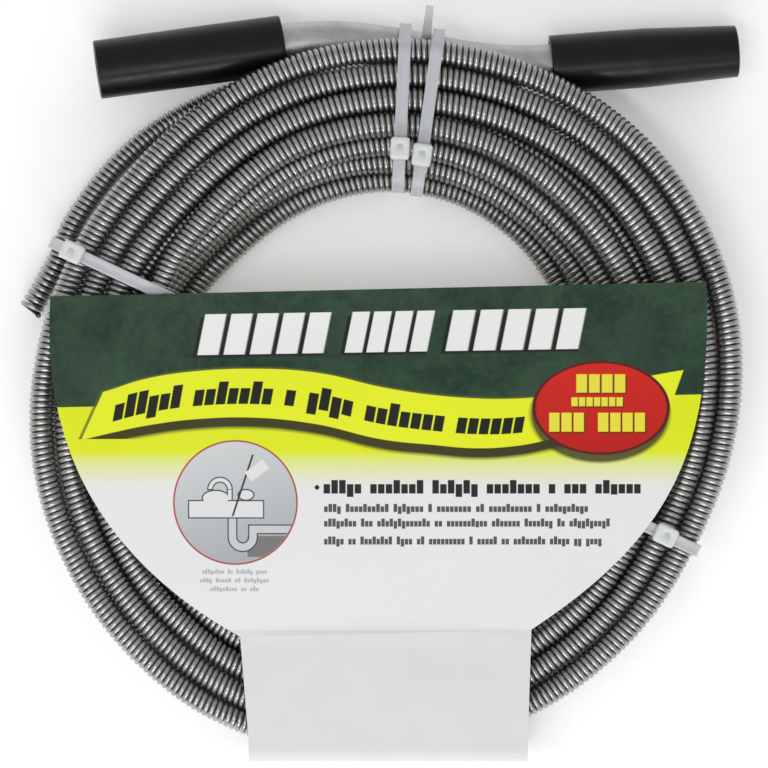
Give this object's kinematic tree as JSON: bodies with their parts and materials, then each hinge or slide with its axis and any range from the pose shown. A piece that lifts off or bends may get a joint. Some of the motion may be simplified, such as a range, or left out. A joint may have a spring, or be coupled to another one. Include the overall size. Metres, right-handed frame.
{
  "type": "drain auger",
  "caption": "Hand drain auger: coiled spring-steel cable with a loose plain end, a bent tube crank with turning grips and a lock screw, held by nylon ties with a printed card folded round the coil",
  "frame": {"origin": "the middle of the whole object's footprint, on the surface it lies on", "axes": "the coil lies flat; +Z is the coil's axis, up through the card's printed face; +Y runs from the coil's middle to the crank; +X is to the right of the card as it is read"},
  "size_m": [0.273, 0.281, 0.0377],
  "materials": {
    "cable_steel": "bright drawn spring steel wire, wound tight, dark between the windings",
    "zinc_steel": "light satin zinc plate",
    "grip_plastic": "glossy black moulded plastic",
    "screw_steel": "plated steel",
    "tie_nylon": "natural nylon, slightly translucent",
    "printed_card": "green and white printed card with a clear glossy varnish"
  },
  "bodies": {
    "bundle": {"cable_coil": "cable_steel", "cable_tail": "cable_steel", "crank_tube": "zinc_steel", "lock_nut": "zinc_steel", "tie_top_left": "tie_nylon", "tie_top_right": "tie_nylon", "tie_left": "tie_nylon", "tie_lower_right": "tie_nylon", "label_card": "printed_card"},
    "left_grip": {"grip_left": "grip_plastic"},
    "right_grip": {"grip_right": "grip_plastic"},
    "screw": {"lock_screw": "screw_steel"}
  },
  "joints": [
    {"name": "grip_left_spin", "type": "hinge", "parent": "bundle", "child": "left_grip", "pos_m": [-0.07134, 0.12204, 0.01652], "axis": [0.9842, 0.1463, -0.0994], "continuous": true},
    {"name": "grip_right_spin", "type": "hinge", "parent": "bundle", "child": "right_grip", "pos_m": [0.09971, 0.12232, 0.0115], "axis": [-0.9972, -0.0743, 0.003], "continuous": true},
    {"name": "lock_screw_travel", "type": "slide", "parent": "bundle", "child": "screw", "axis": [0, 0, 1], "range_m": [0, 0.002]}
  ]
}
